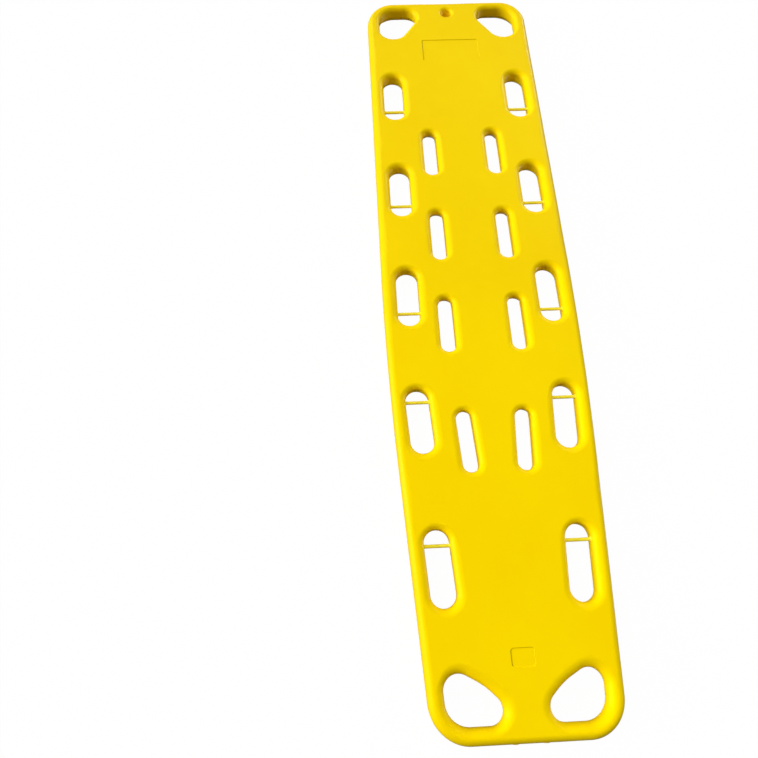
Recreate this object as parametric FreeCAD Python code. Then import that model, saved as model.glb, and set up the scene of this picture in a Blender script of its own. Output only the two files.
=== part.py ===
import FreeCAD, Part
import math, os

# Rescue spine board: a seamless moulded plastic hull filled with foam, with
# grip openings along both rails, strap slots inboard of them, corner grips,
# a hanging hole at the head end and strap pins across the side grips.
#
# Millimetres. Origin on the resting plane (the underside) at the centre of
# the board. +X across the board to the right, +Y towards the head, +Z up.

os.makedirs("parts", exist_ok=True)
V = FreeCAD.Vector
X_AXIS, Y_AXIS, Z_AXIS = V(1, 0, 0), V(0, 1, 0), V(0, 0, 1)
ORIGIN = V(0, 0, 0)
SIDES = (("right", 1), ("left", -1))

# -------------------------------------------------------------------- hull
LENGTH = 1840.0
WIDTH = 445.0          # constant from the head down to the kink
THICK = 45.0
SKIN = 3.5             # wall of the moulded hull
FOOT_HALF = 176.6      # half width where the tapered sides meet the foot end
KINK_Y = -180.0        # where the straight side turns into the taper
KINK_BLEND = 250.0     # tangent length of the long arc at the kink
HEAD_CORNER = 72.0     # plan radii of the end corners
FOOT_CORNER = 74.3

# ------------------------------------------------------------------ mouths
# Treatment of an outline's edges: radius above, size below, and whether
# the lower one is a 45 degree flare instead of a rounding
RIM_MOUTH = (12.5, 9.5, False)
GRIP_MOUTH = (16.0, 15.0, False)
SLOT_MOUTH = (15.0, 16.0, True)
HEAD_MOUTH = (11.0, 14.0, True)
FOOT_MOUTH = (15.5, 16.0, True)
HANG_MOUTH = (8.0, 8.0, False)

# ------------------------------------- openings, given for the right side
LEAN = -3.5            # degrees about +Z, for openings that follow the taper

# side grips: x centre, y centre, lean, y of the strap pin, length, width
GRIPS = [(164.1, 577.0, 0.0, 536.7, 145.0, 51.2),
         (164.1, 277.0, 0.0, 237.8, 143.0, 51.2),
         (164.1, -19.0, 0.0, -57.5, 142.0, 51.2),
         (157.3, -314.5, LEAN, -272.0, 142.0, 51.2),
         (138.7, -615.5, LEAN, -572.8, 148.0, 52.0)]

# strap slots: x centre, y centre, lean
SLOT_LENGTH = 132.0
SLOT_WIDTH = 34.2
SLOTS = [(80.4, 389.8, 0.0),
         (80.4, 145.1, 0.0),
         (80.4, -91.8, 0.0),
         (60.5, -363.6, LEAN)]

# corner grips, counter-clockwise: x, y and rounding radius of each corner
HEAD_GRIP = [(190.0, 705.0, 37.0), (190.0, 896.0, 46.0), (57.0, 896.0, 32.0)]
FOOT_GRIP = [(5.5, -891.0, 26.0), (146.8, -891.0, 44.0),
             (153.7, -780.5, 29.0), (73.1, -824.6, 150.0)]

# hanging hole, on the centre line
HANG_Y = 877.5
HANG_RADIUS = 14.5

# ------------------------------------------------------------- small parts
PIN_DIAMETER = 7.3
PIN_Z = 26.0           # height of the pin axis
PIN_EMBED = 20.0       # buried length each side of the grip
PIN_ROUNDING = 0.8     # on both end edges

ROD_X = 28.0
ROD_Z = THICK / 2.0
ROD_RADIUS = 5.0
ROD_FOOT_Y, ROD_HEAD_Y = -902.0, 850.0

PORT_RADIUS = 7.5      # plug in the foot end wall, in line with each rod
PORT_LENGTH = 14.0
PORT_EXCESS = 4.0      # length beyond the foot end, trimmed off

FLANGE_THICK = 1.6     # flange of an underside plug, let into the skin
# underside plugs, on the centre line: name, y, flange radius, shank radius,
# overall length
UNDERSIDE_PLUGS = [("foam_fill_plug", 620.0, 19.0, 15.0, 14.0),
                   ("foam_vent_plug", -700.0, 11.0, 8.0, 12.0)]

# Panels let into the deck, a label panel at the head and a small plain one
# at the foot: x, y, width, height, corner radius, depth
PANELS = [(0.0, 735.0, 152.0, 74.0, 3.0, 1.2),
          (0.0, -778.5, 44.0, 32.0, 6.0, 1.0)]
PANEL_CLEARANCE = 1.0  # height of the panel cutters above the deck

FLAT_TOL = 1e-3        # extent below which an edge counts as flat
ON_OUTLINE_TOL = 0.01  # distance within which an edge follows an outline


# ----------------------------------------------------------- plan outlines
def offset_points(points, inset):
    """Moves every side of a counter-clockwise polygon inwards by inset."""
    lines = []   # each side as unit inward normal and distance from the origin
    for i, (x0, y0) in enumerate(points):
        x1, y1 = points[(i + 1) % len(points)]
        length = math.hypot(x1 - x0, y1 - y0)
        nx = -(y1 - y0) / length
        ny = (x1 - x0) / length
        lines.append((nx, ny, nx * x0 + ny * y0 + inset))
    moved = []
    for i, (bx, by, b_dist) in enumerate(lines):
        ax, ay, a_dist = lines[i - 1]
        det = ax * by - ay * bx
        moved.append(((a_dist * by - b_dist * ay) / det,
                      (ax * b_dist - bx * a_dist) / det))
    return moved


def rounded_polygon(corners, inset=0.0):
    """Closed wire of straight sides and tangent arcs, moved inwards by inset.

    corners: x, y and radius of each, counter-clockwise.
    """
    points = [V(x, y, 0) for x, y in
              offset_points([(x, y) for x, y, radius in corners], inset)]
    count = len(points)
    arcs = []
    for i, corner in enumerate(points):
        radius = corners[i][2] - inset
        back = points[i - 1] - corner
        ahead = points[(i + 1) % count] - corner
        back.normalize()
        ahead.normalize()
        half_angle = math.acos(max(-1.0, min(1.0, back.dot(ahead)))) / 2.0
        tangent = radius / math.tan(half_angle)
        bisector = back + ahead
        bisector.normalize()
        centre = corner + bisector * (radius / math.sin(half_angle))
        arcs.append((corner + back * tangent,
                     centre - bisector * radius,
                     corner + ahead * tangent))
    edges = []
    for i, (start, middle, end) in enumerate(arcs):
        next_start = arcs[(i + 1) % count][0]
        edges.append(Part.Arc(start, middle, end).toShape())
        edges.append(Part.LineSegment(end, next_start).toShape())
    return Part.Wire(edges)


def hull_wire(inset):
    """Straight head half, tapered foot half, round corners."""
    half_width, half_length = WIDTH / 2.0, LENGTH / 2.0
    taper = math.atan((half_width - FOOT_HALF) / (KINK_Y + half_length))
    kink_radius = KINK_BLEND / math.tan(taper / 2.0)
    right = [(FOOT_HALF, -half_length, FOOT_CORNER),
             (half_width, KINK_Y, kink_radius),
             (half_width, half_length, HEAD_CORNER)]
    left = [(-x, y, radius) for x, y, radius in reversed(right)]
    return rounded_polygon(right + left, inset)


def obround_wire(x, y, lean, length, width):
    """Round-ended slot along Y, turned by lean degrees about +Z."""
    r = width / 2.0
    h = length / 2.0 - r
    wire = Part.Wire([
        Part.LineSegment(V(r, -h, 0), V(r, h, 0)).toShape(),
        Part.Arc(V(r, h, 0), V(0, h + r, 0), V(-r, h, 0)).toShape(),
        Part.LineSegment(V(-r, h, 0), V(-r, -h, 0)).toShape(),
        Part.Arc(V(-r, -h, 0), V(0, -h - r, 0), V(r, -h, 0)).toShape()])
    wire.rotate(ORIGIN, Z_AXIS, lean)
    wire.translate(V(x, y, 0))
    return wire


def openings(grow):
    """(outline grown outwards by grow, mouth) of every opening."""
    right = [(obround_wire(x, y, lean, length + 2 * grow, width + 2 * grow), GRIP_MOUTH)
             for x, y, lean, pin_y, length, width in GRIPS]
    right += [(obround_wire(x, y, lean, SLOT_LENGTH + 2 * grow, SLOT_WIDTH + 2 * grow),
               SLOT_MOUTH) for x, y, lean in SLOTS]
    right += [(rounded_polygon(HEAD_GRIP, -grow), HEAD_MOUTH),
              (rounded_polygon(FOOT_GRIP, -grow), FOOT_MOUTH)]
    left = [(wire.mirror(ORIGIN, X_AXIS), mouth) for wire, mouth in right]
    hang_circle = Part.Circle(V(0, HANG_Y, 0), Z_AXIS, HANG_RADIUS + grow)
    return right + left + [(Part.Wire([hang_circle.toShape()]), HANG_MOUTH)]


# --------------------------------------------------------------- hull form
def slab(rim, holes, z0, z1):
    """Flat plate from z0 to z1 inside the rim wire, less the hole wires."""
    face = Part.Face(rim)
    for hole in holes:
        face = face.cut(Part.Face(hole))
    base = face.Faces[0]
    base.translate(V(0, 0, z0))
    return base.extrude(V(0, 0, z1 - z0))


def edges_on(shape, wire, z):
    """Edges of shape in the plane z that follow the plan outline wire."""
    found = []
    for edge in shape.Edges:
        box = edge.BoundBox
        if abs(box.ZMin - z) < FLAT_TOL and abs(box.ZMax - z) < FLAT_TOL:
            middle = edge.valueAt((edge.FirstParameter + edge.LastParameter) / 2.0)
            plan_point = Part.Vertex(V(middle.x, middle.y, 0))
            if wire.distToShape(plan_point)[0] < ON_OUTLINE_TOL:
                found.append(edge)
    return found


def hull_form(inset):
    """The board with its openings and mouths, all surfaces moved in by inset."""
    z0, z1 = inset, THICK - inset
    rim = hull_wire(inset)
    holes = openings(inset)
    body = slab(rim, [wire for wire, mouth in holes], z0, z1)
    # moving a 45 degree flare in along its normal shortens its legs by this
    flare_loss = inset * (2.0 - math.sqrt(2.0))
    for wire, (upper, lower, flared) in [(rim, RIM_MOUTH)] + holes:
        body = body.makeFillet(upper - inset, edges_on(body, wire, z1))
        if flared:
            body = body.makeChamfer(lower - flare_loss, edges_on(body, wire, z0))
        else:
            body = body.makeFillet(lower - inset, edges_on(body, wire, z0))
    return body.Solids[0]


# ------------------------------------------------------------- small parts
def strap_pin(side, x, y, lean, pin_y, width):
    """Pin along X through a grip's centre line at pin_y, ends in the foam."""
    angle = math.radians(lean)
    centre_x = side * (x - (pin_y - y) * math.tan(angle))
    span = width / math.cos(angle) + 2 * PIN_EMBED
    pin = Part.makeCylinder(PIN_DIAMETER / 2.0, span,
                            V(centre_x - span / 2.0, pin_y, PIN_Z), X_AXIS)
    end_edges = [edge for edge in pin.Edges
                 if abs(edge.BoundBox.XMax - edge.BoundBox.XMin) < FLAT_TOL]
    return pin.makeFillet(PIN_ROUNDING, end_edges).Solids[0]


def stiffening_rod(side):
    return Part.makeCylinder(ROD_RADIUS, ROD_HEAD_Y - ROD_FOOT_Y,
                             V(side * ROD_X, ROD_FOOT_Y, ROD_Z), Y_AXIS)


def rod_port_plug(side, outer):
    """Round plug in the foot end wall, trimmed flush with the hull."""
    start = V(side * ROD_X, -LENGTH / 2.0 - PORT_EXCESS, ROD_Z)
    plug = Part.makeCylinder(PORT_RADIUS, PORT_LENGTH + PORT_EXCESS, start, Y_AXIS)
    return plug.common(outer).Solids[0]


def underside_plug(y, flange_radius, shank_radius, length):
    """A flange let into the skin and a shank up into the foam."""
    flange = Part.makeCylinder(flange_radius, FLANGE_THICK, V(0, y, 0), Z_AXIS)
    shank = Part.makeCylinder(shank_radius, length, V(0, y, 0), Z_AXIS)
    return flange.fuse(shank).removeSplitter().Solids[0]


def panel_cutter(x, y, width, height, radius, depth):
    """Rounded rectangle reaching down into the deck by depth."""
    corners = [(x + sx * width / 2, y + sy * height / 2, radius)
               for sx, sy in ((-1, -1), (1, -1), (1, 1), (-1, 1))]
    return slab(rounded_polygon(corners), [], THICK - depth, THICK + PANEL_CLEARANCE)


# ------------------------------------------------------- deck shell, foam
def largest_solid(shape):
    return max(shape.removeSplitter().Solids, key=lambda solid: solid.Volume)


def deck_shell(outer, cavity, inserts):
    """The skin, with seats for the inserts and recesses for the panels."""
    shell = outer.cut(cavity)
    shell = shell.cut(inserts)
    shell = shell.cut([panel_cutter(*panel) for panel in PANELS])
    return largest_solid(shell)


def foam_core(cavity, embedded):
    """The filling, less everything embedded in it."""
    return largest_solid(cavity.cut(embedded))


# ---------------------------------------------------------------- assembly
outer = hull_form(0.0)
cavity = hull_form(SKIN)

pins = {}
for number, (x, y, lean, pin_y, length, width) in enumerate(GRIPS, start=1):
    for name, side in SIDES:
        pins["strap_pin_%s_%d" % (name, number)] = strap_pin(side, x, y, lean, pin_y, width)

rods = {"stiffening_rod_" + name: stiffening_rod(side) for name, side in SIDES}

plugs = {"rod_port_plug_" + name: rod_port_plug(side, outer) for name, side in SIDES}
for name, *sizes in UNDERSIDE_PLUGS:
    plugs[name] = underside_plug(*sizes)

inserts = list(pins.values()) + list(plugs.values())
nodes = {"deck_shell": deck_shell(outer, cavity, inserts),
         "foam_core": foam_core(cavity, inserts + list(rods.values())),
         **pins, **rods, **plugs}

for name, shape in nodes.items():
    if not shape.isValid():
        raise RuntimeError(name + " is not a valid solid")
    shape.exportStep("parts/%s.step" % name)
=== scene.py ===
import bpy
import math
from collections import namedtuple
from types import SimpleNamespace
import numpy as np
from mathutils import Matrix, Vector
from mathutils.geometry import delaunay_2d_cdt


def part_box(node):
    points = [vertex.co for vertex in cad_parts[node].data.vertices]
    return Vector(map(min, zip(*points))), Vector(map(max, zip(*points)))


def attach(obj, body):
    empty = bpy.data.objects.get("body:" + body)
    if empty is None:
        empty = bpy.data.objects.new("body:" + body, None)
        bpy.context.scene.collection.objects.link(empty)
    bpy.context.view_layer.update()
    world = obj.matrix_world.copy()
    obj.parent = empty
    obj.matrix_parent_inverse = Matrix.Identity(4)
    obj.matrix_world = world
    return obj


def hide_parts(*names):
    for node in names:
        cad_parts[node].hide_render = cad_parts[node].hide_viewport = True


# Rescue spine board lying face up: +Y towards the head, +Z up, underside at z = 0.
# The hull, strap pins and plugs are meshed here in millimetres, round the packed
# CAD solids, and turned into metres when each mesh is made.

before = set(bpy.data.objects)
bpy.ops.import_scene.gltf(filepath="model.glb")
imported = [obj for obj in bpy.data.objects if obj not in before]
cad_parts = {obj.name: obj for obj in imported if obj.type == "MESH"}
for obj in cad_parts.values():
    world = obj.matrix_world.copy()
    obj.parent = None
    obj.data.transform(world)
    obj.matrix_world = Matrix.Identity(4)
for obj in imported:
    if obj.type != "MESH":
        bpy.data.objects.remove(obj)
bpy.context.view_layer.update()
MM = 0.001

# ------------------------------------------------------------ hull dimensions, mm
shell_lo, shell_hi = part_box("deck_shell")
LENGTH = (shell_hi.y - shell_lo.y) * 1000.0
WIDTH = (shell_hi.x - shell_lo.x) * 1000.0
THICK = (shell_hi.z - shell_lo.z) * 1000.0
FOOT_HALF = 176.6                # half width at the foot end
KINK_Y, KINK_BLEND = -180.0, 250.0   # where the taper starts, tangent length of its arc
HEAD_CORNER, FOOT_CORNER = 72.0, 74.3
LEAN = -3.5                      # degrees anticlockwise from +Y, on the +X side

# Openings are given on the +X side and mirrored.
Grip = namedtuple("Grip", "x y lean pin_y length width")
GRIPS = [Grip(164.1, 577.0, 0.0, 536.7, 145.0, 51.2),
         Grip(164.1, 277.0, 0.0, 237.8, 143.0, 51.2),
         Grip(164.1, -19.0, 0.0, -57.5, 142.0, 51.2),
         Grip(157.3, -314.5, LEAN, -272.0, 142.0, 51.2),
         Grip(138.7, -615.5, LEAN, -572.8, 148.0, 52.0)]
SLOT_LENGTH, SLOT_WIDTH = 132.0, 34.2
# centre x, centre y, lean
SLOTS = [(80.4, 389.8, 0.0), (80.4, 145.1, 0.0), (80.4, -91.8, 0.0), (60.5, -363.6, LEAN)]
# corner (x, y), corner radius
HEAD_OPENING = [((190.0, 705.0), 37.0), ((190.0, 896.0), 46.0), ((57.0, 896.0), 32.0)]
FOOT_OPENING = [((5.5, -891.0), 26.0), ((146.8, -891.0), 44.0), ((153.7, -780.5), 29.0),
                ((73.1, -824.6), 150.0)]
HANG_Y, HANG_RADIUS = 877.5, 14.5    # round hole on the centre line

# panels let into the top face
Panel = namedtuple("Panel", "x y width height corner depth")
LABEL = Panel(0.0, 735.0, 152.0, 74.0, 3.0, 1.2)
MARK = Panel(0.0, -778.5, 44.0, 32.0, 6.0, 1.0)

# Edge section by kind of loop. along, head_end: upper rounding, lower width, lower
# height, for the sides of a hole and for its head end. flared: the lower part is a
# straight flare, otherwise an arc. share: part of a web that the upper and the lower
# widths may take.
Mouth = namedtuple("Mouth", "along head_end flared share")
MOUTHS = {
    "rim": Mouth((20.0, 14.0, 14.0), (20.0, 14.0, 14.0), False, (0.5, 0.4)),
    "grip": Mouth((17.5, 15.0, 15.0), (13.0, 20.0, 20.0), False, (0.5, 0.55)),
    "slot": Mouth((15.0, 15.0, 13.0), (11.5, 28.0, 28.0), True, (0.5, 0.45)),
    "head": Mouth((12.0, 15.0, 16.0), (11.0, 17.0, 17.0), True, (0.5, 0.6)),
    "foot": Mouth((21.0, 17.0, 16.0), (21.0, 17.0, 16.0), True, (0.5, 0.6)),
    "hang": Mouth((8.0, 8.0, 8.0), (8.0, 8.0, 8.0), False, (0.5, 0.5)),
}
WEB_GAP = 0.25                   # held back from each side's share of a web

ARC_ANGLES = np.radians([0, 6, 13, 21, 29, 37, 45, 53, 61, 69, 77, 84, 90])
FLARE_EASE = 2.6                 # easing between the underside and a flare
NECK_BELOW, NECK_ABOVE = 3.0, 1.2    # easing either side of where a flare meets the wall
# raised parting line at mid height: height from the middle, proud by, section slope
PARTING_LINE = [(-0.75, 0.0, 0.0), (-0.45, 0.14, -0.5), (0.0, 0.24, 0.0),
                (0.45, 0.14, 0.5), (0.75, 0.0, 0.0)]
# rolled edge of a recess: offset outwards, part of the depth, normal inwards, normal up
RECESS_EDGE = [(1.3, 0.0, 0.0, 1.0), (0.85, 0.06, 0.35, 1.0), (0.45, 0.24, 1.0, 0.8),
               (0.15, 0.55, 1.0, 0.35), (-0.1, 0.8, 1.0, 0.5), (-0.45, 0.95, 0.35, 1.0),
               (-0.9, 1.0, 0.0, 1.0)]
PANEL_EDGE_SCALE, SEAT_EDGE_SCALE = 0.55, 0.6
SEAT_GAP, SEAT_DEPTH = 0.7, 2.2      # seats round the underside plugs
FACE_PITCH, FLOOR_PITCH = 13.0, 12.0     # point spacing in flat faces and recess floors
FADE_WIDTH = 45.0                # the waviness dies out this near an edge

# hull plastic climbing on to a pin: distance from the wall, radius factor
PIN_FILLET = [(0.0, 1.30), (0.5, 1.20), (1.2, 1.10), (2.2, 1.035), (3.6, 1.0)]
PIN_ROOT = (0.4, 1.36)           # the same, just inside the wall
PIN_SEGMENTS, PLUG_SEGMENTS = 36, 44
DOWN, FOOTWARDS = (0, 0, -1), (0, -1, 0)
# node, outward axis, face beyond the CAD solid
PLUGS = [("foam_fill_plug", DOWN, -0.35), ("foam_vent_plug", DOWN, -0.35),
         ("rod_port_plug_left", FOOTWARDS, 0.55), ("rod_port_plug_right", FOOTWARDS, 0.55)]


def smoothstep(t):
    t = np.clip(t, 0, 1)
    return t * t * (3 - 2 * t)


# ------------------------------------------------------------------ plan outlines
# An outline is a pair: points, and unit normals pointing out of the outline.
def rounded_polygon(corners, radii, arc_deg, line_mm):
    """Outline of an anticlockwise polygon whose corners are tangent arcs."""
    count = len(corners)
    arcs = []
    for i in range(count):
        corner = np.array(corners[i], float)
        back = np.array(corners[i - 1], float) - corner
        on = np.array(corners[(i + 1) % count], float) - corner
        back /= np.linalg.norm(back)
        on /= np.linalg.norm(on)
        half = math.acos(max(-1.0, min(1.0, float(back @ on)))) / 2.0
        tangent = radii[i] / math.tan(half)
        bisector = (back + on) / np.linalg.norm(back + on)
        centre = corner + bisector * radii[i] / math.sin(half)
        first = corner + back * tangent - centre
        last = corner + on * tangent - centre
        start, end = math.atan2(first[1], first[0]), math.atan2(last[1], last[0])
        while end < start:
            end += 2 * math.pi
        steps = max(2, int(math.ceil(max(math.degrees(end - start) / arc_deg,
                                         radii[i] * (end - start) / (line_mm * 1.6)))))
        arcs.append((centre, radii[i], np.linspace(start, end, steps + 1)))
    points, normals = [], []
    for i in range(count):
        centre, radius, angles = arcs[i]
        spokes = np.stack([np.cos(angles), np.sin(angles)], 1)
        arc = centre + radius * spokes
        points.append(arc)
        normals.append(spokes)
        centre, radius, angles = arcs[(i + 1) % count]
        target = centre + radius * np.array([math.cos(angles[0]), math.sin(angles[0])])
        steps = int(np.linalg.norm(target - arc[-1]) // line_mm)
        if steps > 1:
            part = (np.arange(1, steps) / steps)[:, None]
            points.append(arc[-1] * (1 - part) + target * part)
            normals.append(np.repeat(spokes[-1:], steps - 1, 0))
    points, normals = np.concatenate(points), np.concatenate(normals)
    keep = np.linalg.norm(points - np.roll(points, 1, 0), axis=1) > 0.05
    return points[keep], normals[keep]


def rectangle(half_width, half_height, x=0.0, y=0.0):
    return [(x - half_width, y - half_height), (x + half_width, y - half_height),
            (x + half_width, y + half_height), (x - half_width, y + half_height)]


def obround(x, y, lean, length, width, arc_deg):
    points, normals = rounded_polygon(rectangle(width / 2.0, length / 2.0),
                                      [width / 2.0] * 4, arc_deg, line_mm=4.5)
    angle = math.radians(lean)
    turn = np.array([[math.cos(angle), -math.sin(angle)], [math.sin(angle), math.cos(angle)]])
    return points @ turn.T + [x, y], normals @ turn.T


def circle(x, y, radius, segments):
    angles = np.linspace(0, 2 * math.pi, segments, endpoint=False)
    spokes = np.stack([np.cos(angles), np.sin(angles)], 1)
    return spokes * radius + [x, y], spokes


def mirrored(outline):
    points, normals = outline
    return (points * [-1, 1])[::-1], (normals * [-1, 1])[::-1]


def rim_outline():
    half_width, half_length = WIDTH / 2.0, LENGTH / 2.0
    taper = math.atan((half_width - FOOT_HALF) / (KINK_Y + half_length))
    kink = KINK_BLEND / math.tan(taper / 2.0)
    corners = [(FOOT_HALF, -half_length), (half_width, KINK_Y), (half_width, half_length),
               (-half_width, half_length), (-half_width, KINK_Y), (-FOOT_HALF, -half_length)]
    radii = [FOOT_CORNER, kink, HEAD_CORNER, HEAD_CORNER, kink, FOOT_CORNER]
    return rounded_polygon(corners, radii, arc_deg=3.0, line_mm=6.0)


def through_loops():
    """The rim and every hole, each with normals pointing into the material."""
    holes = [("grip", obround(g.x, g.y, g.lean, g.length, g.width, 6.0)) for g in GRIPS]
    holes += [("slot", obround(x, y, lean, SLOT_LENGTH, SLOT_WIDTH, 8.0))
              for x, y, lean in SLOTS]
    for kind, opening in (("head", HEAD_OPENING), ("foot", FOOT_OPENING)):
        corners, radii = zip(*opening)
        holes.append((kind, rounded_polygon(corners, radii, arc_deg=5.0, line_mm=4.5)))

    points, normals = rim_outline()
    loops = [SimpleNamespace(points=points, normals=-normals, kind="rim")]
    for kind, outline in holes:
        for points, normals in (outline, mirrored(outline)):
            loops.append(SimpleNamespace(points=points, normals=normals, kind=kind))
    points, normals = circle(0.0, HANG_Y, HANG_RADIUS, 56)
    loops.append(SimpleNamespace(points=points, normals=normals, kind="hang"))
    return loops


def nearest_distance(points, targets, chunk=400):
    """Distance from each point to the nearest target, in chunks to spare memory."""
    best = np.full(len(points), np.inf)
    for start in range(0, len(targets), chunk):
        gaps = points[:, None] - targets[None, start:start + chunk]
        best = np.minimum(best, np.sqrt((gaps ** 2).sum(2)).min(1))
    return best


def size_mouths(loops):
    """Sets each loop's edge section, with widths held to its share of the webs."""
    for i, loop in enumerate(loops):
        mouth = MOUTHS[loop.kind]
        web = nearest_distance(
            loop.points, np.concatenate([m.points for j, m in enumerate(loops) if j != i]))
        headward = smoothstep((loop.normals[:, 1] - 0.15) / 0.7)
        loop.upper_height, lower_width, loop.lower_height = (
            side + (end - side) * headward for side, end in zip(mouth.along, mouth.head_end))

        # the narrowest width nearby, then a weighted mean along the loop
        reach = 9 if loop.kind == "rim" else 5
        shifts = range(-reach, reach + 1)
        weights = np.hanning(2 * reach + 3)[1:-1]
        weights /= weights.sum()

        def limited(width, share):
            width = np.minimum(width, web * share - WEB_GAP)
            low = np.min([np.roll(width, shift) for shift in shifts], 0)
            return sum(weight * np.roll(low, shift) for weight, shift in zip(weights, shifts))

        loop.upper_width = limited(loop.upper_height, mouth.share[0])
        loop.lower_width = limited(lower_width, mouth.share[1])


# ---------------------------------------------------------------- mesh assembling
class MeshBuilder:
    """Gathers vertices with their normals, and faces as arrays of vertex numbers."""

    def __init__(self):
        self.vertices, self.normals, self.faces, self.count = [], [], [], 0

    def add(self, points, normals):
        start = self.count
        self.vertices.append(np.asarray(points, float))
        self.normals.append(np.asarray(normals, float))
        self.count += len(points)
        return np.arange(start, self.count)

    def bridge(self, rings):
        """Joins each closed ring to the next; a ring of one vertex is a pole."""
        for a, b in zip(rings, rings[1:]):
            if len(a) == 1:
                corners = [np.repeat(a, len(b)), b, np.roll(b, -1)]
            elif len(b) == 1:
                corners = [a, np.roll(a, -1), np.repeat(b, len(a))]
            else:
                corners = [a, np.roll(a, -1), np.roll(b, -1), b]
            self.faces.append(np.stack(corners, 1))

    def make(self, name):
        vertices = np.concatenate(self.vertices)
        normals = np.concatenate(self.normals)
        normals /= np.linalg.norm(normals, axis=1, keepdims=True)
        faces = []
        for block in self.faces:      # wind every face to agree with its normals
            p = vertices[block]
            across = np.cross(p[:, 1] - p[:, 0], p[:, 2] - p[:, 0])
            if block.shape[1] == 4:
                across = across + np.cross(p[:, 2] - p[:, 0], p[:, 3] - p[:, 0])
            flip = (across * normals[block].mean(1)).sum(1) < 0
            wound = block.copy()
            wound[flip] = block[flip][:, ::-1]
            faces += wound.tolist()
        mesh = bpy.data.meshes.new(name)
        mesh.from_pydata((vertices * MM).tolist(), [], faces)
        mesh.polygons.foreach_set("use_smooth", [True] * len(mesh.polygons))
        mesh.update()
        mesh.normals_split_custom_set_from_vertices(normals.tolist())
        return link_object(name, mesh)


def link_object(name, data):
    made = bpy.data.objects.new(name, data)
    bpy.context.scene.collection.objects.link(made)
    return made


def undulation(x, y):
    """The slight waviness of a large moulded face, mm."""
    return 0.16 * (np.sin(x / 38.0 + 0.7 * np.sin(y / 71.0)) * np.sin(y / 63.0 + 1.3)
                   + 0.6 * np.sin((x + y) / 47.0 + 0.4) * np.sin((y - 0.6 * x) / 83.0))


def inside_material(points, rings):
    """True where a point is inside an odd number of rings."""
    odd = np.zeros(len(points), bool)
    for ring in rings:
        lo, hi = ring.min(0), ring.max(0)
        near = np.where((points >= lo).all(1) & (points <= hi).all(1))[0]
        if not len(near):
            continue
        x, y = points[near][:, 0][:, None], points[near][:, 1][:, None]
        a, b = ring, np.roll(ring, -1, 0)
        spans = (a[:, 1][None] > y) != (b[:, 1][None] > y)
        # level edges divide by zero, but they never span a point
        with np.errstate(divide="ignore", invalid="ignore"):
            cross_x = a[:, 0] + (y - a[:, 1]) * (b[:, 0] - a[:, 0]) / (b[:, 1] - a[:, 1])
        odd[near] ^= ((spans & (x < cross_x)).sum(1) % 2).astype(bool)
    return odd


def fill_flat(builder, ring_ids, z, side, pitch, wavy=False):
    """Fills between rings, the outermost first, at height z. side: 1 up, -1 down."""
    vertices = np.concatenate(builder.vertices)
    rings = [vertices[ids][:, :2] for ids in ring_ids]
    edge = np.concatenate(rings)

    # staggered grid of inner points, clear of the edges
    lo, hi = rings[0].min(0), rings[0].max(0)
    x, y = np.meshgrid(np.arange(lo[0] + pitch / 2, hi[0], pitch),
                       np.arange(lo[1] + pitch / 2, hi[1], pitch * 0.866))
    x = x + (np.arange(x.shape[0]) % 2)[:, None] * pitch / 2
    grid = np.stack([x.ravel(), y.ravel()], 1)
    grid = grid[inside_material(grid, rings)]
    distance = nearest_distance(grid, edge)
    clear = distance > pitch * 0.45
    grid, distance = grid[clear], distance[clear]

    edges = []
    start = 0
    for ring in rings:
        count = len(ring)
        edges += [(start + i, start + (i + 1) % count) for i in range(count)]
        start += count
    plan = np.concatenate([edge, grid])
    result = delaunay_2d_cdt([Vector(p) for p in plan.tolist()], edges, [], 0, 1e-5)
    placed, triangles, sources = result[0], np.array(result[2]), result[3]

    x, y = grid[:, 0], grid[:, 1]
    height = np.full(len(grid), float(z))
    slope_x = slope_y = np.zeros(len(grid))
    if wavy:
        fade = smoothstep(distance / FADE_WIDTH)
        height = z + undulation(x, y) * fade
        step = 1.0
        slope_x = (undulation(x + step, y) - undulation(x - step, y)) / (2 * step) * fade
        slope_y = (undulation(x, y + step) - undulation(x, y - step)) / (2 * step) * fade
    normals = side * np.stack([-slope_x, -slope_y, np.ones(len(grid))], 1)
    inner_ids = builder.add(np.column_stack([grid, height]), normals)

    # from triangulation numbers back to mesh vertices
    mesh_ids = np.concatenate([np.concatenate(ring_ids), inner_ids])
    ids = np.full(len(placed), -1)
    for i, source in enumerate(sources):
        if source:
            ids[i] = mesh_ids[source[0]]
    centres = np.array([[p[0], p[1]] for p in placed])[triangles].mean(1)
    good = inside_material(centres, rings) & (ids[triangles] >= 0).all(1)
    builder.faces.append(ids[triangles[good]])


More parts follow.
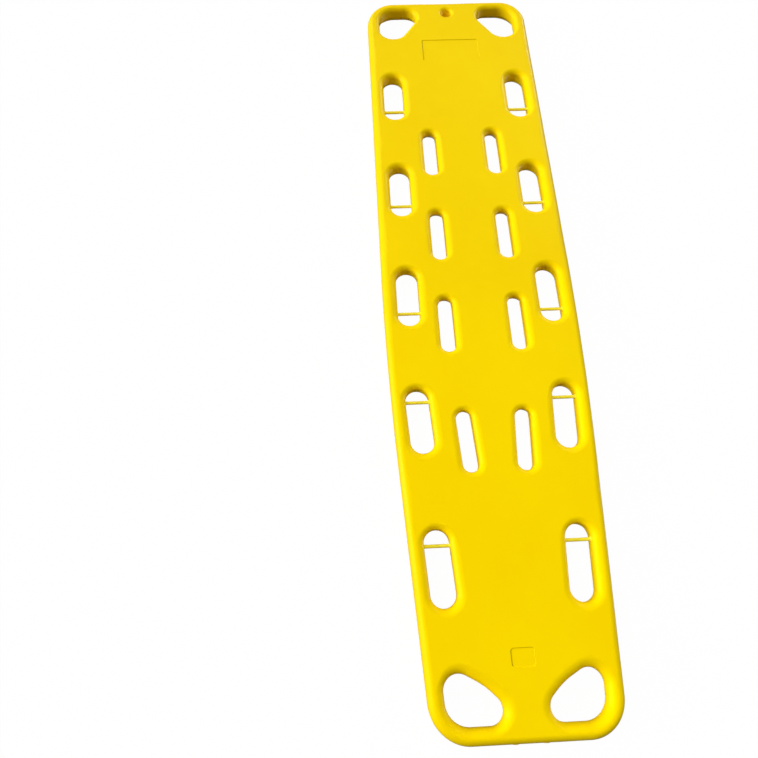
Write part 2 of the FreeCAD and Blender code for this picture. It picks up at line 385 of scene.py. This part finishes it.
# --------------------------------------------------------------------- the hull
def mouth_rings(builder, loop):
    """Wall of one loop from the underside up. Returns its bottom and top rings."""
    flared = MOUTHS[loop.kind].flared
    lower, bottom = loop.lower_width, loop.lower_height
    upper, top = loop.upper_width, loop.upper_height
    one = np.ones(len(loop.points))
    rings = []

    def ring(offset, z, run, rise):
        """offset: distance into the material; run, rise: section direction going up."""
        points = np.column_stack(
            [loop.points + loop.normals * np.reshape(offset * one, (-1, 1)), z * one])
        normals = np.column_stack([-loop.normals * np.reshape(rise * one, (-1, 1)), run * one])
        rings.append(builder.add(points, normals))

    if flared:
        slope = lower - FLARE_EASE        # width of the straight flare, carried to z = 0
        slope_end = slope * (1 - FLARE_EASE / bottom)
        for t in (0.0, 0.25, 0.5, 0.75, 1.0):       # from the flat to the slope
            g = 1 - t
            ring(g * g * lower + 2 * g * t * slope + t * t * slope_end, t * t * FLARE_EASE,
                 2 * g * (slope - lower) + 2 * t * (slope_end - slope), 2 * t * FLARE_EASE)
        for t in (0.35, 0.7):
            z = FLARE_EASE + (bottom - NECK_BELOW - FLARE_EASE) * t
            ring(slope * (1 - z / bottom), z, -slope / bottom, 1.0)
        neck = slope * NECK_BELOW / bottom
        for t in (0.0, 0.2, 0.4, 0.6, 0.8, 1.0):    # from the slope to the wall
            g = 1 - t
            z = g * g * (bottom - NECK_BELOW) + 2 * g * t * bottom + t * t * (bottom + NECK_ABOVE)
            ring(g * g * neck, z, -2 * g * neck, 2 * g * NECK_BELOW + 2 * t * NECK_ABOVE)
    else:
        for angle in ARC_ANGLES[::-1]:              # from the flat to the wall
            ring(lower * (1 - math.cos(angle)), bottom - bottom * math.sin(angle),
                 -lower * math.sin(angle), bottom * math.cos(angle))
        if loop.kind != "hang":
            for rise, proud, slant in PARTING_LINE:
                ring(-proud * one, THICK / 2.0 + rise, slant, 1.0)
    for angle in ARC_ANGLES:                        # from the wall to the top face
        ring(upper * (1 - math.cos(angle)), THICK - top + top * math.sin(angle),
             upper * math.sin(angle), top * math.cos(angle))
    builder.bridge(rings)
    return rings[0], rings[-1]


def recess(builder, outline, depth, z, side, edge_scale):
    """Shallow flat-floored recess in a face. Returns its ring in that face."""
    points, normals = outline
    count = len(points)
    rings = []
    for offset, part, inward, vertical in RECESS_EDGE:
        edge = np.column_stack([points + normals * offset * edge_scale,
                                np.full(count, z - side * part * depth)])
        rings.append(builder.add(edge, np.column_stack([-normals * inward,
                                                        np.full(count, side * vertical)])))
    builder.bridge(rings)
    fill_flat(builder, [rings[-1]], z - side * depth, side, FLOOR_PITCH)
    return rings[0]


def panel_recess(builder, panel):
    corners = rectangle(panel.width / 2, panel.height / 2, panel.x, panel.y)
    outline = rounded_polygon(corners, [panel.corner] * 4, arc_deg=15.0, line_mm=6.0)
    return recess(builder, outline, panel.depth, THICK, 1, PANEL_EDGE_SCALE)


def plug_seat(builder, node_name):
    lo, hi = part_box(node_name)
    outline = circle((lo.x + hi.x) * 500, (lo.y + hi.y) * 500,
                     (hi.x - lo.x) * 500 + SEAT_GAP, 48)
    return recess(builder, outline, SEAT_DEPTH, 0.0, -1, SEAT_EDGE_SCALE)


def build_hull():
    loops = through_loops()
    size_mouths(loops)
    builder = MeshBuilder()
    bottom_rings, top_rings = zip(*[mouth_rings(builder, loop) for loop in loops])
    panels = [panel_recess(builder, panel) for panel in (LABEL, MARK)]
    fill_flat(builder, [*top_rings, *panels], THICK, 1, FACE_PITCH, wavy=True)
    seats = [plug_seat(builder, name) for name, axis, proud in PLUGS if axis == DOWN]
    fill_flat(builder, [*bottom_rings, *seats], 0.0, -1, FACE_PITCH)
    return builder.make("hull")


# ------------------------------------------------------ turned pieces: pins, plugs
def turned(name, profile, centre, axis, segments):
    """Closed solid of revolution. profile: (distance along axis, radius), mm."""
    along = Vector(axis).normalized()
    across = along.orthogonal().normalized()
    along, across, third = (np.array(v) for v in (along, across, along.cross(across)))
    centre = np.array(centre, float)
    profile = np.array(profile, float)
    angles = np.linspace(0, 2 * math.pi, segments, endpoint=False)
    spokes = np.cos(angles)[:, None] * across + np.sin(angles)[:, None] * third
    builder = MeshBuilder()
    rings = []
    for (distance, radius), (run, rise) in zip(profile, np.gradient(profile, axis=0)):
        if radius < 1e-6:
            pole = along * (1 if rise <= 0 else -1)
            rings.append(builder.add([centre + along * distance], [pole]))
        else:
            rings.append(builder.add(centre + along * distance + spokes * radius,
                                     spokes * run - along * rise))
    builder.bridge(rings)
    return builder.make(name)


def hand_over(piece, node_name):
    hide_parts(node_name)
    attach(piece, "root")


def build_pin(side, number, grip):
    node_name = "strap_pin_%s_%d" % (side, number)
    lo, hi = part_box(node_name)
    half, radius = (hi.x - lo.x) * 500, (hi.z - lo.z) * 500
    # half the free span: the grip is narrower where its end rounds off
    over = max(0.0, abs(grip.pin_y - grip.y) - (grip.length - grip.width) / 2)
    free = math.sqrt((grip.width / 2) ** 2 - over ** 2) / math.cos(math.radians(grip.lean))
    root, root_factor = PIN_ROOT
    # from the +X end to just short of the middle, then the same mirrored
    end = [(half, 0), (half, radius * 0.75), (half - 0.9, radius), (free + 3.0, radius),
           (free + root, radius * root_factor)]
    end += [(free - inset, radius * factor) for inset, factor in PIN_FILLET]
    end += [(free * 0.5, radius * 0.995)]
    profile = [(-x, r) for x, r in end] + [(0.0, radius * 0.99)] + end[::-1]
    pin = turned("pin_%s_%d" % (side, number), profile, (lo + hi) * 500, (1, 0, 0),
                 PIN_SEGMENTS)
    hand_over(pin, node_name)
    return pin


def build_plug(node_name, axis, proud):
    lo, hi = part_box(node_name)
    half = abs((hi - lo).dot(Vector(axis))) * 500
    radius = (hi.x - lo.x) * 500
    face = half + proud
    profile = [(-half, 0), (-half, radius * 0.7),
               # collar with a rounded edge
               (half - 3.0, radius * 0.7), (half - 2.0, radius), (face - 0.9, radius),
               (face - 0.25, radius - 0.25), (face, radius - 0.9),
               # shallow dish in the face, dimpled at its middle
               (face, radius * 0.72), (face - 0.05, radius * 0.62),
               (face - 0.45, radius * 0.56), (face - 0.55, radius * 0.50),
               (face - 0.55, radius * 0.24), (face - 0.62, radius * 0.18),
               (face - 1.1, radius * 0.10), (face - 1.2, 0)]
    plug = turned(node_name + "_face", profile, (lo + hi) * 500, axis, PLUG_SEGMENTS)
    hand_over(plug, node_name)
    return plug


hull = build_hull()
pins = [build_pin(side, number, grip) for number, grip in enumerate(GRIPS, start=1)
        for side in ("left", "right")]
plugs = [build_plug(*plug) for plug in PLUGS]
hand_over(hull, "deck_shell")


# ------------------------------------------------------------------- materials
WHITE = (1.0, 1.0, 1.0, 1)
YELLOW_TINT = (1.0, 0.8, 0.0, 1.0)


def new_material(name):
    material = bpy.data.materials.new(name)
    material.use_nodes = True
    return material, material.node_tree, material.node_tree.nodes["Principled BSDF"]


def add_node(tree, kind, **settings):
    """Adds a node. A setting is an input (its spaces as _) or else a property."""
    added = tree.nodes.new(kind)
    for name, value in settings.items():
        socket = name.replace("_", " ")
        if socket in added.inputs:
            added.inputs[socket].default_value = value
        else:
            setattr(added, name, value)
    return added


def plastic(name, base, deep, light, rough, spec, grain=1.0, tint=YELLOW_TINT):
    """Satin moulded plastic: colour drifting between three tones, fine orange
    peel and a little roughness variation."""
    material, tree, bsdf = new_material(name)
    link = tree.links.new
    place = add_node(tree, "ShaderNodeTexCoord").outputs["Object"]

    def noise(scale, detail, roughness):
        added = add_node(tree, "ShaderNodeTexNoise", Scale=scale, Detail=detail,
                         Roughness=roughness)
        link(place, added.inputs["Vector"])
        return added.outputs["Fac"]

    drift = noise(scale=2.2, detail=3.0, roughness=0.5)
    mottle = noise(scale=28.0, detail=4.0, roughness=0.55)
    fine = noise(scale=620.0, detail=2.0, roughness=0.5)
    peel = noise(scale=230.0, detail=1.5, roughness=0.4)

    # colour: deep to base in broad drifts, then up to a fifth of light in mottles
    tones = add_node(tree, "ShaderNodeValToRGB")
    for stop, position, colour in zip(tones.color_ramp.elements, (0.36, 0.66), (deep, base)):
        stop.position = position
        stop.color = (*colour, 1)
    link(drift, tones.inputs["Fac"])
    mix = add_node(tree, "ShaderNodeMix", data_type="RGBA")
    link(tones.outputs["Color"], mix.inputs["A"])
    mix.inputs["B"].default_value = (*light, 1)
    amount = add_node(tree, "ShaderNodeMapRange", From_Min=0.45, From_Max=0.8, To_Max=0.20)
    link(mottle, amount.inputs["Value"])
    link(amount.outputs["Result"], mix.inputs["Factor"])
    link(mix.outputs["Result"], bsdf.inputs["Base Color"])

    sheen = add_node(tree, "ShaderNodeMapRange", To_Min=rough - 0.07, To_Max=rough + 0.10)
    link(mottle, sheen.inputs["Value"])
    link(sheen.outputs["Result"], bsdf.inputs["Roughness"])

    # relief: fine * 0.35 + peel
    relief = add_node(tree, "ShaderNodeMath", operation="MULTIPLY_ADD")
    relief.inputs[1].default_value = 0.35
    link(fine, relief.inputs[0])
    link(peel, relief.inputs[2])
    bump = add_node(tree, "ShaderNodeBump", Strength=0.12 * grain, Distance=0.0006)
    link(relief.outputs["Value"], bump.inputs["Height"])
    link(bump.outputs["Normal"], bsdf.inputs["Normal"])
    bsdf.inputs["Specular IOR Level"].default_value = spec
    bsdf.inputs["Specular Tint"].default_value = tint
    return material


def painted_panel_shade(material, panel, left, right, head):
    """Painted shade: deepens the base colour in a thin line along a panel's outline, where the
    recess edge lies in shade;
    how much on its left (-X), right (+X) and head (+Y) edges."""
    centre_x, centre_y, width, height, corner = [v / 1000.0 for v in panel[:5]]
    tree = material.node_tree
    link = tree.links.new
    bsdf = tree.nodes["Principled BSDF"]
    plain = bsdf.inputs["Base Color"].links[0].from_socket

    def maths(operation, *values, clamp=False):
        added = add_node(tree, "ShaderNodeMath", operation=operation, use_clamp=clamp)
        for i, value in enumerate(values):
            if isinstance(value, (int, float)):
                added.inputs[i].default_value = value
            else:
                link(value, added.inputs[i])
        return added.outputs[0]

    place = add_node(tree, "ShaderNodeTexCoord")
    split = add_node(tree, "ShaderNodeSeparateXYZ")
    link(place.outputs["Object"], split.inputs[0])
    x, y, z = split.outputs

    # signed distance to the rounded rectangle
    u = maths("SUBTRACT", x, centre_x)
    v = maths("SUBTRACT", y, centre_y)
    over_x = maths("SUBTRACT", maths("ABSOLUTE", u), width / 2 - corner)
    over_y = maths("SUBTRACT", maths("ABSOLUTE", v), height / 2 - corner)
    out_x = maths("MAXIMUM", over_x, 0.0)
    out_y = maths("MAXIMUM", over_y, 0.0)
    outside = maths("SQRT", maths("ADD", maths("MULTIPLY", out_x, out_x),
                                  maths("MULTIPLY", out_y, out_y)))
    inside = maths("MINIMUM", maths("MAXIMUM", over_x, over_y), 0.0)
    distance = maths("SUBTRACT", maths("ADD", outside, inside), corner)
    # full to 0.48 mm from the outline, gone at 1.28 mm
    line = maths("SUBTRACT", 1.6, maths("DIVIDE", maths("ABSOLUTE", distance), 0.0008),
                 clamp=True)

    # painted shade strength by edge, darkest on the left edge, which faces away from the key
    # light
    side = maths("GREATER_THAN", maths("SUBTRACT", over_x, over_y), 0.0)
    on_left = maths("MULTIPLY", side, maths("LESS_THAN", u, 0.0))
    on_right = maths("MULTIPLY", side, maths("GREATER_THAN", u, 0.0))
    on_head = maths("MULTIPLY", maths("SUBTRACT", 1.0, side), maths("GREATER_THAN", v, 0.0))
    strength = maths("ADD", maths("MULTIPLY", on_left, left),
                     maths("ADD", maths("MULTIPLY", on_right, right),
                           maths("MULTIPLY", on_head, head)))
    on_top = maths("GREATER_THAN", z, (THICK - 3.0) / 1000.0)
    amount = maths("MULTIPLY", maths("MULTIPLY", line, strength), on_top)

    # the dark brown mixed in here is painted shade, not a colour of the plastic
    mix = add_node(tree, "ShaderNodeMix", data_type="RGBA")
    link(amount, mix.inputs["Factor"])
    link(plain, mix.inputs["A"])
    mix.inputs["B"].default_value = (0.30, 0.19, 0.0, 1)
    link(mix.outputs["Result"], bsdf.inputs["Base Color"])


hull_plastic = plastic("hull_polyethylene", base=(0.93, 0.665, 0.0), deep=(0.90, 0.625, 0.0),
                       light=(0.96, 0.72, 0.0), rough=0.42, spec=0.26)
pin_plastic = plastic("pin_nylon", base=(0.95, 0.82, 0.05), deep=(0.90, 0.76, 0.04),
                      light=(0.97, 0.87, 0.08), rough=0.3, spec=0.5, grain=0.5)
plug_plastic = plastic("plug_polyethylene", base=(0.86, 0.60, 0.0), deep=(0.80, 0.54, 0.0),
                       light=(0.92, 0.66, 0.0), rough=0.5, spec=0.3, grain=1.4)
foam = plastic("foam_polyurethane", base=(0.72, 0.60, 0.36), deep=(0.62, 0.50, 0.28),
               light=(0.80, 0.70, 0.46), rough=0.9, spec=0.1, grain=3.0, tint=WHITE)
glass_fibre = plastic("rod_glass_fibre", base=(0.42, 0.40, 0.30), deep=(0.36, 0.34, 0.25),
                      light=(0.5, 0.48, 0.38), rough=0.35, spec=0.5, grain=0.6, tint=WHITE)
# painted shade along the label and mark outlines, strongest on their left edges
painted_panel_shade(hull_plastic, LABEL, left=0.85, right=0.20, head=0.22)
painted_panel_shade(hull_plastic, MARK, left=0.8, right=0.15, head=0.3)


def cad_material(name):
    if name == "foam_core":
        return foam
    if name.startswith("stiffening"):
        return glass_fibre
    if name.startswith("strap_pin"):
        return pin_plastic
    if "plug" in name:
        return plug_plastic
    return hull_plastic


for pieces, material in (([hull], hull_plastic), (pins, pin_plastic), (plugs, plug_plastic)):
    for piece in pieces:
        piece.data.materials.append(material)
for name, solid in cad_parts.items():
    material = cad_material(name)
    if not solid.material_slots:
        solid.data.materials.append(material)
    for slot in solid.material_slots:
        slot.material = material


# ------------------------------------------------------- floor, world and lights
def mix_shaders(tree, factor, first, second):
    """Mixes two shader nodes by a number or by a node output."""
    mix = add_node(tree, "ShaderNodeMixShader")
    if isinstance(factor, float):
        mix.inputs["Fac"].default_value = factor
    else:
        tree.links.new(factor, mix.inputs["Fac"])
    tree.links.new(first.outputs[0], mix.inputs[1])
    tree.links.new(second.outputs[0], mix.inputs[2])
    return mix


def build_floor():
    """White to the camera, dark grey to other rays and clear from below."""
    half, z = 9, -0.0008         # metres
    mesh = bpy.data.meshes.new("floor")
    mesh.from_pydata([(x, y, z) for x, y in rectangle(half, half)], [], [(0, 1, 2, 3)])
    link_object("floor", mesh)

    material, tree, bsdf = new_material("pale_floor")
    camera_ray = add_node(tree, "ShaderNodeLightPath").outputs["Is Camera Ray"]
    backfacing = add_node(tree, "ShaderNodeNewGeometry").outputs["Backfacing"]
    glow = add_node(tree, "ShaderNodeEmission", Strength=1.0, Color=WHITE)
    pale = add_node(tree, "ShaderNodeBsdfDiffuse", Color=(0.9, 0.9, 0.9, 1))
    dim = add_node(tree, "ShaderNodeBsdfDiffuse", Color=(0.09, 0.09, 0.09, 1))
    clear = add_node(tree, "ShaderNodeBsdfTransparent")
    seen = mix_shaders(tree, 0.03, glow, pale)
    above = mix_shaders(tree, camera_ray, dim, seen)
    surface = mix_shaders(tree, backfacing, above, clear)
    tree.links.new(surface.outputs[0], tree.nodes["Material Output"].inputs["Surface"])
    tree.nodes.remove(bsdf)
    mesh.materials.append(material)


def build_world():
    """Faint white light all round, with a brighter backdrop for the camera."""
    world = bpy.data.worlds.new("studio")
    bpy.context.scene.world = world
    world.use_nodes = True
    tree = world.node_tree
    ambient = tree.nodes["Background"]
    ambient.inputs["Color"].default_value = WHITE
    ambient.inputs["Strength"].default_value = 0.17
    camera_ray = add_node(tree, "ShaderNodeLightPath").outputs["Is Camera Ray"]
    backdrop = add_node(tree, "ShaderNodeBackground", Strength=1.0)
    surface = mix_shaders(tree, camera_ray, ambient, backdrop)
    tree.links.new(surface.outputs[0], tree.nodes["World Output"].inputs["Surface"])


LIGHT_SPREAD = 18.0              # degrees
LIGHT_DISTANCE = 6.0             # metres
# name, elevation, azimuth from +Y towards +X (degrees), power, casts shadows
LIGHTS = [("key_left", 15.0, 270.0, 1.58, True),
          ("upper_left", 42.0, 270.0, 0.50, True),
          ("upper_head", 42.0, 330.0, 0.22, True),
          ("head_right", 15.0, 42.0, 0.62, True),
          ("top", 68.0, 345.0, 0.42, True),
          ("fill_left", -9.0, 278.0, 1.05, False),
          ("fill_right", -30.0, 85.0, 0.42, False),
          ("fill_head", 35.0, 330.0, 0.50, True),
          ("fill_head_right", 15.0, 40.0, 0.28, True),
          ("fill_top", 88.0, 0.0, 0.87, False)]


def soft_light(name, elevation, azimuth, power, shadow):
    sun = bpy.data.lights.new(name, "SUN")
    sun.energy = power
    sun.angle = math.radians(LIGHT_SPREAD)
    sun.use_shadow = shadow
    light = link_object(name, sun)
    rise, turn = math.radians(elevation), math.radians(azimuth)
    towards = Vector((math.sin(turn) * math.cos(rise), math.cos(turn) * math.cos(rise),
                      math.sin(rise)))
    light.location = towards * LIGHT_DISTANCE
    light.rotation_mode = "QUATERNION"
    light.rotation_quaternion = (-towards).to_track_quat("-Z", "Y")


def build_camera():
    camera = bpy.data.cameras.new("view")
    view = link_object("view", camera)
    right = Vector((0.998852, -0.046223, 0.012562))
    up = Vector((0.038838, 0.935037, 0.352417))
    backwards = Vector((-0.028035, -0.351525, 0.935759))
    turn = Matrix((right, up, backwards)).transposed()
    view.matrix_world = Matrix.Translation((-0.276397, -0.670766, 1.243611)) @ turn.to_4x4()
    camera.sensor_fit = "HORIZONTAL"
    camera.sensor_width = 36.0
    camera.lens = 28.140507
    camera.clip_start, camera.clip_end = 0.02, 60.0
    bpy.context.scene.camera = view


build_floor()
build_world()
for light in LIGHTS:
    soft_light(*light)
build_camera()
bpy.context.scene.view_settings.view_transform = "Standard"
